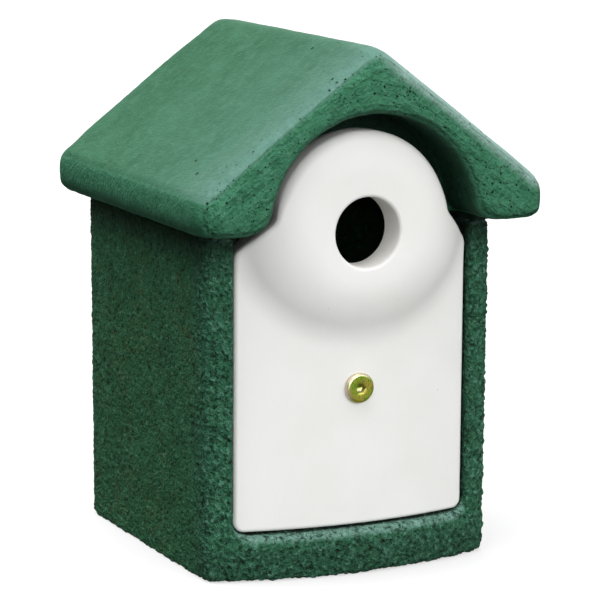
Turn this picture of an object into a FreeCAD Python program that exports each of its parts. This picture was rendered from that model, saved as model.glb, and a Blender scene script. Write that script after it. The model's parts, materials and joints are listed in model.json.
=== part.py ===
"""Woodcrete nest box with a bolted front panel, as separate pieces.

Millimetres. +Z is up, the entrance faces -Y and the back, which hangs on a wall, faces +Y.
The origin is on the ground, under the middle of the roof.
"""
import FreeCAD
import Part

import math
import os

# Body casting
BODY_WIDTH = 142.5        # across the foot
BODY_FLARE = 1.0          # each side leans out by this much at the wall top
BODY_DEPTH = 147.0        # from the back face to the front edges of the sides
FRONT_BOW = 14.0          # the front swells forward by this much in the middle
BACK_CORNER = 11.0        # radius of the rear corners
FRONT_CORNER = 3.0        # radius of the front corners
BACK_WALL = 18.0
LIP_HEIGHT = 21.0         # the lip that the panel stands on
RIM_WIDTH = 12.0          # wall that shows beside the panel
LEDGE_WIDTH = 6.0         # step behind the panel's edges
CAVITY_CORNER = 10.0      # radius of the nest space's rear corners
DRAIN_DIAMETER = 8.0
DRAIN_INSET = 16.0        # from the nest space's walls to the drain holes

# Roof casting
EAVE_BOTTOM = 160.5       # height of the roof's flat underside
EAVE_HEIGHT = 17.5        # upright face of the eaves
RIDGE_RISE = 66.0         # from the eaves' top edge to the sharp ridge
EAVE_OVERHANG = 14.75     # past the body's foot, at each side
ROOF_OVERHANG = 27.0      # past the front edges of the body's sides
RIDGE_ROUND = 9.0
EAVE_ROUND = 7.0          # top edge of the eaves
DRIP_ROUND = 6.0          # bottom edge of the eaves
FASCIA_ROUND = 5.0        # front arris
REAR_ROUND = 3.0          # rear arris
ARCH_GAP = 8.5            # free width between the dome and the fascia's arch
ARCH_CORNER = 13.0        # lower corners of the arch
VAULT_LEDGE = 6.0         # stop behind the panel's arched edge
GABLE_WALL = 20.0         # rear wall of the roof's hollow
MORTAR_THICKNESS = 2.5
MORTAR_INSET = 2.0        # the bed stays back from the inner faces of the walls
MORTAR_SQUEEZE = 2.5      # it swells out past the outer faces, under the eaves

# Front panel
PANEL_GAP = 1.2           # all round the panel, in its recess
SEAT_GAP = 0.4            # between the panel's back and its ledge
LIP_SHOW = 5.5            # depth of lip that shows before the panel
PANEL_BOW = 8.0           # swell of the panel's face, over its own width
PANEL_THICKNESS = 9.5
PANEL_CORNER = 4.5        # lower corners
SHOULDER_DROP = 11.0      # from the roof's underside to the shoulders
SHOULDER_ROUND = 7.0
SHOULDER_LEAN = 45.0      # degrees that the edges from the shoulders to the arch rise at
SHOULDER_HOLLOW = 6.0     # hollow rounding where those edges meet the arch
PANEL_ARCH = 43.0         # radius of the panel's arched top
DOME_PROUD = 8.5          # the dome stands out from the panel's face by this much
DOME_FLAT = 25.0          # radius of the flat round the entrance
DOME_ROUND = 40.0         # swelling rounding from the flat outwards
DOME_FOOT = 24.0          # hollow rounding where the dome meets the face
DOME_WALL = 15.5          # length of the entrance
ENTRANCE_DIAMETER = 32.0
ENTRANCE_DROP = 2.3       # entrance below the dome's centre

# Bolt, its retainer and the bar that it pulls against
BOLT_HEIGHT = 86.0        # above the ground
BOLT_DIAMETER = 6.0
HEAD_DIAMETER = 14.0
HEAD_HEIGHT = 2.2
HEAD_BEVEL = 1.0
SOCKET_ACROSS = 4.0       # hexagon, across flats
SOCKET_DEPTH = 2.5
BOLT_TIP = 2.0            # past the nut
RELEASE_GAP = 1.0         # free play once the bolt is out of the nut
HEAD_GAP = 0.3            # under the head
HOLE_CLEARANCE = 0.4      # round the bolt, in panel and bar
THREAD_CLEARANCE = 0.05   # round the bolt, in nut and retainer
RETAINER_DIAMETER = 13.0
RETAINER_THICKNESS = 1.2
BAR_HEIGHT = 20.0
BAR_THICKNESS = 4.0
BAR_EMBED = 10.0          # length of each end inside the wall
NUT_ACROSS = 10.0
NUT_HEIGHT = 5.0

# Hanger at the back
HANGER_DROP = 30.0        # from the wall top down to the plate's middle
HANGER_WIDTH = 76.0
HANGER_HEIGHT = 34.0
HANGER_THICKNESS = 2.0
HANGER_CORNER = 4.0
HANGER_SET_BACK = 0.3     # plate below the back face
HANGER_MARGIN = 0.5       # recess round the plate
KEYHOLE_HEAD = 11.0       # diameter that the wall screw's head enters by
KEYHOLE_SLOT = 5.5        # width of the slot above it
KEYHOLE_RISE = 11.0       # from the entry's centre to the slot's end
POCKET_DEPTH = 8.0        # room for the wall screw's head behind the plate
POCKET_MARGIN = 2.5       # pocket round the keyhole
SCREW_SPACING = 60.0
SCREW_DIAMETER = 3.5
SCREW_HEAD = 7.0
SCREW_LENGTH = 12.0
PLUG_DIAMETER = 7.0
PLUG_LENGTH = 13.0

# Planes and sizes that several pieces share
BACK_Y = (BODY_DEPTH + ROOF_OVERHANG) / 2
FRONT_Y = -BACK_Y
RIM_Y = BACK_Y - BODY_DEPTH
WALL_TOP = EAVE_BOTTOM - MORTAR_THICKNESS
RIDGE_HEIGHT = EAVE_BOTTOM + EAVE_HEIGHT + RIDGE_RISE
FLOOR_TOP = LIP_HEIGHT + PANEL_GAP + LEDGE_WIDTH
RECESS_HALF = BODY_WIDTH / 2 - RIM_WIDTH
PANEL_HALF = RECESS_HALF - PANEL_GAP
CAVITY_HALF = RECESS_HALF - PANEL_GAP - LEDGE_WIDTH
ROOF_HALF = BODY_WIDTH / 2 + EAVE_OVERHANG
CAVITY_BACK = BACK_Y - BACK_WALL

PANEL_FRONT = RIM_Y - FRONT_BOW + LIP_SHOW
PANEL_BACK = PANEL_FRONT + PANEL_THICKNESS
BOW_RADIUS = (PANEL_HALF ** 2 + PANEL_BOW ** 2) / (2 * PANEL_BOW)
BOW_AXIS_Y = PANEL_FRONT + BOW_RADIUS
SEAT_RADIUS = BOW_RADIUS - PANEL_THICKNESS - SEAT_GAP
DOME_Z = EAVE_BOTTOM
DOME_FRONT = PANEL_FRONT - DOME_PROUD
DOME_RADIUS = DOME_FLAT + DOME_ROUND
ENTRANCE_Z = DOME_Z - ENTRANCE_DROP

BACKOUT = NUT_HEIGHT + BOLT_TIP + RELEASE_GAP
RETAINER_Y = PANEL_BACK + BACKOUT + RELEASE_GAP
BAR_Y = RETAINER_Y + RETAINER_THICKNESS + RELEASE_GAP
NUT_Y = BAR_Y + BAR_THICKNESS

HANGER_CENTRE = WALL_TOP - HANGER_DROP
PLATE_Y = BACK_Y - HANGER_SET_BACK - HANGER_THICKNESS
KEYHOLE_Z = HANGER_CENTRE - KEYHOLE_RISE / 2

# Cutters reach this far past what they cut
PAST = 20.0


def vec(x, y, z):
    return FreeCAD.Vector(x, y, z)


def box(x0, x1, y0, y1, z0, z1):
    return Part.makeBox(x1 - x0, y1 - y0, z1 - z0, vec(x0, y0, z0))


def rod_y(radius, y0, y1, x, z):
    """Cylinder along Y."""
    return Part.makeCylinder(radius, y1 - y0, vec(x, y0, z), vec(0, 1, 0))


def upright(radius, z0, z1, x, y):
    """Cylinder along Z."""
    return Part.makeCylinder(radius, z1 - z0, vec(x, y, z0))


def hexagon_y(across, y0, y1, z):
    """Hexagonal bar along Y, on the middle plane."""
    corner = across / math.sqrt(3)
    points = []
    for i in range(7):
        angle = math.radians(60 * i)
        points.append(vec(corner * math.cos(angle), y0, z + corner * math.sin(angle)))
    return Part.Face(Part.makePolygon(points)).extrude(vec(0, y1 - y0, 0))


def along(shape, axis, places):
    """Edges parallel to an axis that pass through the given places, told by the other two coordinates."""
    others = [i for i in range(3) if i != axis]
    found = []
    for edge in shape.Edges:
        ends = [edge.Vertexes[0].Point, edge.Vertexes[-1].Point]
        if abs(ends[1][axis] - ends[0][axis]) < 1.0:
            continue
        for place in places:
            if all(abs(end[i] - place[k]) < 1e-3 for end in ends for k, i in enumerate(others)):
                found.append(edge)
    return found


def on_plane_y(shape, y):
    """Edges that lie in the plane at y."""
    return [e for e in shape.Edges if abs(e.BoundBox.YMin - y) < 1e-4 and abs(e.BoundBox.YMax - y) < 1e-4]


def wall_edges(shape, front):
    """Upright edges of the body's front or rear corners."""
    tall = [e for e in shape.Edges if e.BoundBox.ZLength > WALL_TOP - 1e-3]
    return [e for e in tall if (e.BoundBox.YMax < 0) == front]


def wall_top_plan(grow, z):
    """Outline of the body at the wall top, grown past its faces, but flush at the back."""
    half = BODY_WIDTH / 2 + BODY_FLARE + grow
    front = RIM_Y - grow
    back = BACK_Y
    radius = BACK_CORNER + grow
    mid = radius * (1 - math.sqrt(0.5))
    bow = Part.Arc(vec(-half, front, z), vec(0, front - FRONT_BOW, z), vec(half, front, z))
    right = Part.Arc(vec(half, back - radius, z), vec(half - mid, back - mid, z), vec(half - radius, back, z))
    left = Part.Arc(vec(radius - half, back, z), vec(mid - half, back - mid, z), vec(-half, back - radius, z))
    edges = [
        bow.toShape(),
        Part.makeLine(vec(half, front, z), vec(half, back - radius, z)),
        right.toShape(),
        Part.makeLine(vec(half - radius, back, z), vec(radius - half, back, z)),
        left.toShape(),
        Part.makeLine(vec(-half, back - radius, z), vec(-half, front, z)),
    ]
    return Part.Wire(edges)


def before_seat():
    """Everything in front of the curved seat that the panel's back bears on."""
    reach = ROOF_HALF + PAST
    block = box(-reach, reach, FRONT_Y - PAST, RIM_Y + PAST, 0, RIDGE_HEIGHT)
    return block.cut(upright(SEAT_RADIUS, 0, RIDGE_HEIGHT, 0, BOW_AXIS_Y))


def panel_prism(grow):
    """Front outline of the panel, grown all round, as a block along Y."""
    half = PANEL_HALF + grow
    low = LIP_HEIGHT + PANEL_GAP - grow
    inward = math.cos(math.radians(SHOULDER_LEAN))
    upward = math.sin(math.radians(SHOULDER_LEAN))
    shoulder = EAVE_BOTTOM - SHOULDER_DROP + grow * (1 - upward) / inward
    radius = PANEL_ARCH + grow
    rise = shoulder - DOME_Z
    nearest = half * inward - rise * upward
    length = nearest - math.sqrt(nearest ** 2 + radius ** 2 - half ** 2 - rise ** 2)
    touch_x = half - length * inward
    touch_z = shoulder + length * upward
    y = FRONT_Y - PAST
    arc = Part.Arc(vec(touch_x, y, touch_z), vec(0, y, DOME_Z + radius), vec(-touch_x, y, touch_z))
    right = [vec(half, y, low), vec(half, y, shoulder), vec(touch_x, y, touch_z)]
    left = [vec(-touch_x, y, touch_z), vec(-half, y, shoulder), vec(-half, y, low), vec(half, y, low)]
    wire = Part.Wire(Part.makePolygon(right).Edges + [arc.toShape()] + Part.makePolygon(left).Edges)
    prism = Part.Face(wire).extrude(vec(0, RIM_Y + PAST - y, 0))
    feet = along(prism, 1, [(half, low), (-half, low)])
    prism = prism.makeFillet(PANEL_CORNER + grow, feet)
    hollows = along(prism, 1, [(touch_x, touch_z), (-touch_x, touch_z)])
    prism = prism.makeFillet(SHOULDER_HOLLOW - grow, hollows)
    shoulders = along(prism, 1, [(half, shoulder), (-half, shoulder)])
    return prism.makeFillet(SHOULDER_ROUND + grow, shoulders)


def hanger_screw_places():
    return [(-SCREW_SPACING / 2, HANGER_CENTRE), (SCREW_SPACING / 2, HANGER_CENTRE)]


def keyhole(grow, y0, y1):
    """Round entry with a slot above it, as a block along Y."""
    entry = rod_y(KEYHOLE_HEAD / 2 + grow, y0, y1, 0, KEYHOLE_Z)
    half = KEYHOLE_SLOT / 2 + grow
    slot = box(-half, half, y0, y1, KEYHOLE_Z, KEYHOLE_Z + KEYHOLE_RISE)
    end = rod_y(half, y0, y1, 0, KEYHOLE_Z + KEYHOLE_RISE)
    return entry.fuse([slot, end]).removeSplitter()


def hanger_block(grow, y0, y1):
    """Outline of the hanger plate, grown all round, as a block along Y."""
    x = HANGER_WIDTH / 2 + grow
    low = HANGER_CENTRE - HANGER_HEIGHT / 2 - grow
    high = HANGER_CENTRE + HANGER_HEIGHT / 2 + grow
    block = box(-x, x, y0, y1, low, high)
    corners = along(block, 1, [(-x, low), (x, low), (-x, high), (x, high)])
    return block.makeFillet(HANGER_CORNER + grow, corners)


def make_crossbar():
    reach = CAVITY_HALF + BAR_EMBED
    bar = box(-reach, reach, BAR_Y, NUT_Y, BOLT_HEIGHT - BAR_HEIGHT / 2, BOLT_HEIGHT + BAR_HEIGHT / 2)
    return bar.cut(rod_y(BOLT_DIAMETER / 2 + HOLE_CLEARANCE, BAR_Y, NUT_Y, 0, BOLT_HEIGHT))


def make_crossbar_nut():
    nut = hexagon_y(NUT_ACROSS, NUT_Y, NUT_Y + NUT_HEIGHT, BOLT_HEIGHT)
    return nut.cut(rod_y(BOLT_DIAMETER / 2 + THREAD_CLEARANCE, NUT_Y, NUT_Y + NUT_HEIGHT, 0, BOLT_HEIGHT))


def make_hanger_plugs():
    plugs = [rod_y(PLUG_DIAMETER / 2, PLATE_Y - PLUG_LENGTH, PLATE_Y, x, z) for x, z in hanger_screw_places()]
    return Part.makeCompound([plug.cut(make_hanger_screws()) for plug in plugs])


def make_hanger_screws():
    """Countersunk screws, heads level with the plate."""
    face = PLATE_Y + HANGER_THICKNESS
    sink = (SCREW_HEAD - SCREW_DIAMETER) / 2
    screws = []
    for x, z in hanger_screw_places():
        head = Part.makeCone(SCREW_DIAMETER / 2, SCREW_HEAD / 2, sink, vec(x, face - sink, z), vec(0, 1, 0))
        shank = rod_y(SCREW_DIAMETER / 2, face - SCREW_LENGTH, face - sink, x, z)
        screws.append(head.fuse(shank).removeSplitter())
    return Part.makeCompound(screws)


def make_hanger_plate():
    plate = hanger_block(0, PLATE_Y, PLATE_Y + HANGER_THICKNESS)
    plate = plate.cut(keyhole(0, PLATE_Y, PLATE_Y + HANGER_THICKNESS))
    return plate.cut(make_hanger_screws())


def make_body():
    foot = BODY_WIDTH / 2
    top = foot + BODY_FLARE
    start = FRONT_Y - PAST
    profile = [
        vec(-foot, start, 0),
        vec(foot, start, 0),
        vec(top, start, WALL_TOP),
        vec(-top, start, WALL_TOP),
    ]
    body = Part.Face(Part.makePolygon(profile + profile[:1])).extrude(vec(0, BACK_Y - start, 0))
    body = body.makeFillet(BACK_CORNER, wall_edges(body, False))
    bow_radius = (foot ** 2 + FRONT_BOW ** 2) / (2 * FRONT_BOW)
    body = body.common(upright(bow_radius, 0, WALL_TOP, 0, RIM_Y - FRONT_BOW + bow_radius))
    body = body.makeFillet(FRONT_CORNER, wall_edges(body, True))

    cavity = box(-CAVITY_HALF, CAVITY_HALF, FRONT_Y, CAVITY_BACK, FLOOR_TOP, EAVE_BOTTOM)
    rear = along(cavity, 2, [(-CAVITY_HALF, CAVITY_BACK), (CAVITY_HALF, CAVITY_BACK)])
    body = body.cut(cavity.makeFillet(CAVITY_CORNER, rear))

    recess = box(-RECESS_HALF, RECESS_HALF, FRONT_Y, RIM_Y + PAST, LIP_HEIGHT, EAVE_BOTTOM)
    feet = along(recess, 1, [(-RECESS_HALF, LIP_HEIGHT), (RECESS_HALF, LIP_HEIGHT)])
    recess = recess.makeFillet(PANEL_CORNER + PANEL_GAP, feet)
    body = body.cut(recess.common(before_seat()))

    drains = []
    for x in (DRAIN_INSET - CAVITY_HALF, CAVITY_HALF - DRAIN_INSET):
        for y in (NUT_Y + NUT_HEIGHT + DRAIN_INSET, CAVITY_BACK - DRAIN_INSET):
            drains.append(upright(DRAIN_DIAMETER / 2, -PAST, FLOOR_TOP + PAST, x, y))
    body = body.cut(drains)

    reach = CAVITY_HALF + BAR_EMBED
    slot = box(-reach, reach, BAR_Y, NUT_Y, BOLT_HEIGHT - BAR_HEIGHT / 2, BOLT_HEIGHT + BAR_HEIGHT / 2)
    recess = hanger_block(HANGER_MARGIN, PLATE_Y, BACK_Y + PAST)
    pocket = keyhole(POCKET_MARGIN, PLATE_Y - POCKET_DEPTH, PLATE_Y)
    plugs = [rod_y(PLUG_DIAMETER / 2, PLATE_Y - PLUG_LENGTH, PLATE_Y, x, z) for x, z in hanger_screw_places()]
    return body.cut([slot, recess, pocket] + plugs)


def make_roof():
    eave_top = EAVE_BOTTOM + EAVE_HEIGHT
    profile = [
        vec(-ROOF_HALF, FRONT_Y, EAVE_BOTTOM),
        vec(ROOF_HALF, FRONT_Y, EAVE_BOTTOM),
        vec(ROOF_HALF, FRONT_Y, eave_top),
        vec(0, FRONT_Y, RIDGE_HEIGHT),
        vec(-ROOF_HALF, FRONT_Y, eave_top),
    ]
    roof = Part.Face(Part.makePolygon(profile + profile[:1])).extrude(vec(0, BACK_Y - FRONT_Y, 0))
    roof = roof.makeFillet(RIDGE_ROUND, along(roof, 1, [(0, RIDGE_HEIGHT)]))
    roof = roof.makeFillet(EAVE_ROUND, along(roof, 1, [(-ROOF_HALF, eave_top), (ROOF_HALF, eave_top)]))
    roof = roof.makeFillet(DRIP_ROUND, along(roof, 1, [(-ROOF_HALF, EAVE_BOTTOM), (ROOF_HALF, EAVE_BOTTOM)]))
    roof = roof.makeFillet(REAR_ROUND, on_plane_y(roof, BACK_Y))

    arch_radius = PANEL_ARCH + ARCH_GAP
    arch = rod_y(arch_radius, FRONT_Y - PAST, RIM_Y + PAST, 0, DOME_Z)
    clear = panel_prism(PANEL_GAP)
    roof = roof.cut(arch.common(before_seat()))
    corners = along(roof, 1, [(-arch_radius, EAVE_BOTTOM), (arch_radius, EAVE_BOTTOM)])
    roof = roof.makeFillet(ARCH_CORNER, corners)
    roof = roof.cut(clear.common(before_seat()))
    roof = roof.makeFillet(FASCIA_ROUND, on_plane_y(roof, FRONT_Y))
    vault = rod_y(PANEL_ARCH - VAULT_LEDGE, FRONT_Y - PAST, BACK_Y - GABLE_WALL, 0, DOME_Z)
    return roof.cut(vault)


def make_mortar():
    wires = [wall_top_plan(0, WALL_TOP), wall_top_plan(MORTAR_SQUEEZE, EAVE_BOTTOM)]
    bed = Part.makeLoft(wires, True, True)
    half = CAVITY_HALF + MORTAR_INSET
    cavity = box(-half, half, FRONT_Y, CAVITY_BACK + MORTAR_INSET, 0, EAVE_BOTTOM + PAST)
    half = RECESS_HALF + MORTAR_INSET
    recess = box(-half, half, FRONT_Y, RIM_Y + PAST, 0, EAVE_BOTTOM + PAST)
    return bed.cut(cavity).cut(recess)


def make_panel():
    top = DOME_Z + DOME_RADIUS + PAST
    reach = PANEL_HALF + PAST
    back = upright(BOW_RADIUS - PANEL_THICKNESS, -PAST, top, 0, BOW_AXIS_Y)
    plate = upright(BOW_RADIUS, -PAST, top, 0, BOW_AXIS_Y).cut(back)
    plate = plate.common(box(-reach, reach, FRONT_Y - PAST, RIM_Y + PAST, -PAST, top))

    dome = rod_y(DOME_RADIUS, DOME_FRONT, DOME_FRONT + DOME_ROUND + PAST, 0, DOME_Z)
    dome = dome.makeFillet(DOME_ROUND, on_plane_y(dome, DOME_FRONT))
    panel = plate.fuse(dome.cut(back)).removeSplitter()
    foot = []
    for edge in panel.Edges:
        middle = edge.valueAt((edge.FirstParameter + edge.LastParameter) / 2)
        on_face = abs(math.hypot(middle.x, middle.y - BOW_AXIS_Y) - BOW_RADIUS) < 1e-3
        if on_face and math.hypot(middle.x, middle.z - DOME_Z) < DOME_RADIUS + 1e-3:
            foot.append(edge)
    panel = panel.makeFillet(DOME_FOOT, foot)
    panel = panel.common(panel_prism(0))

    hollow = rod_y(DOME_FLAT, DOME_FRONT + DOME_WALL, RIM_Y + PAST, 0, DOME_Z)
    entrance = rod_y(ENTRANCE_DIAMETER / 2, FRONT_Y - PAST, RIM_Y + PAST, 0, ENTRANCE_Z)
    bolt_hole = rod_y(BOLT_DIAMETER / 2 + HOLE_CLEARANCE, FRONT_Y - PAST, RIM_Y + PAST, 0, BOLT_HEIGHT)
    return panel.cut([hollow, entrance, bolt_hole])


def make_bolt():
    under = PANEL_FRONT - HEAD_GAP
    top = under - HEAD_HEIGHT
    head = rod_y(HEAD_DIAMETER / 2, top, under, 0, BOLT_HEIGHT)
    head = head.makeChamfer(HEAD_BEVEL, on_plane_y(head, top))
    shank = rod_y(BOLT_DIAMETER / 2, under, NUT_Y + NUT_HEIGHT + BOLT_TIP, 0, BOLT_HEIGHT)
    socket = hexagon_y(SOCKET_ACROSS, top, top + SOCKET_DEPTH, BOLT_HEIGHT)
    return head.fuse(shank).removeSplitter().cut(socket)


def make_retainer():
    end = RETAINER_Y + RETAINER_THICKNESS
    disc = rod_y(RETAINER_DIAMETER / 2, RETAINER_Y, end, 0, BOLT_HEIGHT)
    return disc.cut(rod_y(BOLT_DIAMETER / 2 + THREAD_CLEARANCE, RETAINER_Y, end, 0, BOLT_HEIGHT))


def main():
    pieces = {
        "body_casting": make_body(),
        "roof_casting": make_roof(),
        "roof_mortar": make_mortar(),
        "front_panel": make_panel(),
        "panel_bolt": make_bolt(),
        "bolt_retainer": make_retainer(),
        "crossbar": make_crossbar(),
        "crossbar_nut": make_crossbar_nut(),
        "hanger_plate": make_hanger_plate(),
        "hanger_screws": make_hanger_screws(),
        "hanger_plugs": make_hanger_plugs(),
    }
    os.makedirs("parts", exist_ok=True)
    for name, shape in pieces.items():
        shape.exportStep(os.path.join("parts", name + ".step"))
        print(name, len(shape.Solids), "solids", round(shape.Volume), "mm3", shape.isValid())


main()
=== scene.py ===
"""Looks of a woodcrete nest box: rough castings, a smooth domed panel, its plated bolt, and a pale studio."""

import json
import math

import bmesh
import bpy
import numpy as np
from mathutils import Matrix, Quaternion, Vector, noise


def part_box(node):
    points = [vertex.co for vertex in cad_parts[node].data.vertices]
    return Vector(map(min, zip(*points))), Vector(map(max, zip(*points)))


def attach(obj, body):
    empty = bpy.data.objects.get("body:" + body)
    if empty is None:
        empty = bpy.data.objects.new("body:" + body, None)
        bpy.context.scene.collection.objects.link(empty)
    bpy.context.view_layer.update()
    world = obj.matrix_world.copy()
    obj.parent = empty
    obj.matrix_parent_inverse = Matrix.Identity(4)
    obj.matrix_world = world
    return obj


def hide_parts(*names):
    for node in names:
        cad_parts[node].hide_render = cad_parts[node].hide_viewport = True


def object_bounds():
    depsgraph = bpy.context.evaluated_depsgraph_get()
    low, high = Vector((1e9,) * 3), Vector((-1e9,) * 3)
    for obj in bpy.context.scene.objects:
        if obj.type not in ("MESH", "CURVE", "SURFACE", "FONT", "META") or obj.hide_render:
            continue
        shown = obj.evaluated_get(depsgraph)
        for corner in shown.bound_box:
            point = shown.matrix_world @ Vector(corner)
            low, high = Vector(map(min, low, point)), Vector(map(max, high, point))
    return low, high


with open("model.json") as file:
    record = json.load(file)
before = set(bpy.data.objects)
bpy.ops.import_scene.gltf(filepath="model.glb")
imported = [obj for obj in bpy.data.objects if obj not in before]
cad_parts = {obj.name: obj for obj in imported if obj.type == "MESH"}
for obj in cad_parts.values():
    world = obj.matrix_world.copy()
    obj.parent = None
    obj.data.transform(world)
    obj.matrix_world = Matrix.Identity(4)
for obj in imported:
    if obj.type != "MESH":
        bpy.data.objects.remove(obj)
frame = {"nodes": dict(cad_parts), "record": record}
cad_bounds = [list(corner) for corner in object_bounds()]
scene = bpy.context.scene
scene.view_settings.view_transform = "Standard"

MM = 0.001  # sizes below are in mm, the scene is in metres
NOISE_SEED = 1
noise.seed_set(NOISE_SEED)  # noise_vector would else take its offsets from the clock


def node_box(node):
    """Lowest and highest corner of a CAD node, in mm."""
    low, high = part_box(node)
    return np.array(low) / MM, np.array(high) / MM


def mount(name):
    """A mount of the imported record."""
    return next(m for m in frame["record"]["mounts"] if m["name"] == name)


# Roof: the eave's face and the ridge before their edges were rounded
ROOF_LOW, ROOF_HIGH = node_box("roof_casting")
ROOF_HALF = ROOF_HIGH[0]
FRONT_Y = ROOF_LOW[1]
EAVE_BOTTOM = ROOF_LOW[2]
EAVE_TOP = 178.0
RIDGE_HEIGHT = 244.0
ROOF_RISE = RIDGE_HEIGHT - EAVE_TOP
SLOPE_LENGTH = math.hypot(ROOF_RISE, ROOF_HALF)
FASCIA_ARCH = 51.5          # radius of the arch in the fascia
ARRIS_REACH = 15.0          # how far the worn rounding of the front arris spreads
EAVE_REACH = 16.0           # how far in from the eave's face its edges are worn
CREST_REACH = 20.0          # how far the rounding of the ridge's ends spreads along the ridge
CREST_DROP = 24.0           # and how far below the ridge
STROKE_BEND = 14.0          # how far from the middle the trowel strokes bend over the crown
STROKE_LENGTH = 2400 / SLOPE_LENGTH  # about 22 mm
STROKE_WIDTH = 280 / SLOPE_LENGTH    # about 2.6 mm
STROKE_DRIFT = 0.08         # change of the strokes from side to side
ROOF_VOXEL = 1.2
# Rounds of smoothing that wear down the roof's edges
ROOF_ROUNDS = {"all": 2, "arris": 18, "eaves": 9, "tips": 12, "crest": 14, "crest_back": 20}

# Body
BODY_HALF = 71.25           # half the width of the foot
LIP_TOP = 21.0
RECESS_HALF = 59.25         # half the width of the panel's recess
SEAT_GAP = 0.15             # room left between the panel's back and the cast ledge
SEAT_REACH = 2.5            # how deep a swelling of the ledge is drawn back
BODY_VOXEL = 1.25           # halved again on the sides and the front
BODY_ROUNDS = {"all": 3, "front": 7, "lip": 12}

# Panel
PANEL_LOW, PANEL_HIGH = node_box("front_panel")
PANEL_HALF = PANEL_HIGH[0]
PANEL_BOTTOM = PANEL_LOW[2]
PANEL_TOP = PANEL_HIGH[2]
PANEL_FRONT = -68.5         # front of the plate at its middle
PANEL_THICKNESS = 9.5
PANEL_ARCH = 43.0           # radius of the panel's round head
PANEL_SHOULDER = 149.5      # height where the straight sides end
PANEL_FOOT_ROUND = 4.5
SHOULDER_ROUND = 7.0
SHOULDER_LEAN = math.radians(45)
SHOULDER_HOLLOW = 6.0       # rounding where the leaning edge meets the head
PANEL_EDGE_ROUND = 1.6
HEAD_EDGE_ROUND = 3.6       # wider rounding round the head
BOW_RADIUS = 214.6          # the plate's bow, seen from above
BOW_AXIS = PANEL_FRONT + BOW_RADIUS
DOME_Z = PANEL_TOP - PANEL_ARCH
DOME_FRONT = PANEL_LOW[1]
DOME_FLAT = 25.0            # radius of the flat round the entrance, and of the hollow behind it
DOME_ROUND = 40.0           # swelling rounding from the flat outwards
DOME_FOOT = 24.0            # hollow rounding where the dome meets the plate
DOME_WALL = 15.5
ENTRANCE = mount("entrance")
ENTRANCE_RADIUS = ENTRANCE["dims"]["r_mm"]
ENTRANCE_Z = ENTRANCE["pos_m"][2] / MM
ENTRANCE_ROUND = 1.6
HOLLOW_ROUND = 0.8          # rounding in the corner of the hollow behind the dome
PANEL_POINTS = 440          # points round each ring of the panel's mesh
FACE_RINGS = 64             # even steps of rings between the two rows below
BACK_RINGS = 12
# Where the close rings lie: out from the entrance's edge, and in from the rim
ENTRANCE_STEPS = (0, 0.06, 0.2, 0.4, 0.7, 1.05, 1.45, 1.9, 2.4)
RIM_STEPS = (5.0, 4.1, 3.3, 2.6, 2.0, 1.5, 1.05, 0.7, 0.4, 0.2, 0.08, 0.02, 0)
# How far in, and how far in front of the back, the rings of the rounded rear edge lie
REAR_EDGE = ((0.0, 1.0), (0.3, 0.3), (1.0, 0.0))
WELD_GAP = 0.002

# Bolt
BOLT_LOW, BOLT_HIGH = node_box("panel_bolt")
BOLT_Z = (BOLT_LOW[2] + BOLT_HIGH[2]) / 2
BOLT_FRONT = BOLT_LOW[1]
BOLT_TIP = BOLT_HIGH[1]
HEAD_RADIUS = BOLT_HIGH[0]
HEAD_THICKNESS = 2.2
HEAD_BEVEL = 1.4
SOCKET_ACROSS = 4.0
SOCKET_DEPTH = 2.5
SHANK_RADIUS = 3.0
THREAD_PITCH = 1.0
THREAD_DEPTH = 0.4
BOLT_HOLE_RADIUS = 3.4
PLAIN_SHANK = 6.0           # length of the shank before the thread begins
TURN = 48                   # points round each ring of the bolt's mesh
DRILL = (PANEL_FRONT - 9, PANEL_FRONT + 25)

# Hanger screws
SCREWS_LOW, SCREWS_HIGH = node_box("hanger_screws")
SCREW_HEAD_RADIUS = (SCREWS_HIGH[2] - SCREWS_LOW[2]) / 2
SCREW_RADIUS = 1.75
SCREW_PITCH = 1.3
CROSS_REACH = 2.0           # half the length of each slot of the cross recess
CROSS_HALF = 0.5            # half its width
SCREW_TURN = 96             # points round each ring of a screw's mesh

# Camera and light, fitted to the photo
EYE = Vector((-0.581155, -1.218096, 0.363620))
TARGET = Vector((-0.025460, -0.059665, 0.126688))
ROLL = math.radians(0.358)
LENS = 174.34
SENSOR = 36.0
SKY = 0.03                  # the world's radiance, where a white wall in full light is 1
FLOOR_HALF = 6.0            # half the floor's width, in metres
FLOOR_BOUNCE = 0.08         # how much light the floor throws back on the object
FLOOR_SHADE = 0.35          # how much of the floor's look comes from light, and so shows the shadow
FLOOR_GLOW = 0.55           # how much of it is even white
LAMP_SPREAD = math.radians(60)
# Each lamp's direction, and its irradiance in the unit of SKY
LAMPS = {"overhead": ((0.0, 0.1, 0.99), 0.98),
         "upper_left": ((-0.5, 0.0, 0.87), 0.60),
         "front_key": ((0.0, -1.0, 0.15), 0.93),
         "front_right": ((0.6, -0.75, 0.3), 0.31),
         "front_left": ((-0.6, -0.75, 0.3), 0.10),
         "back_fill": ((0.3, 0.9, 0.3), 0.60)}


def ramp(value, low, high):
    """0 below low, 1 above high, and smooth between."""
    t = np.clip((value - low) / (high - low), 0, 1)
    return t * t * (3 - 2 * t)


# Meshes

def add_object(name, mesh):
    """New object of the scene, at the origin."""
    made = bpy.data.objects.new(name, mesh)
    scene.collection.objects.link(made)
    return made


def applied(made):
    """Swaps an object's mesh for what its modifiers make of it."""
    graph = bpy.context.evaluated_depsgraph_get()
    mesh = bpy.data.meshes.new_from_object(made.evaluated_get(graph))
    made.modifiers.clear()
    made.data = mesh
    return made


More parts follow.
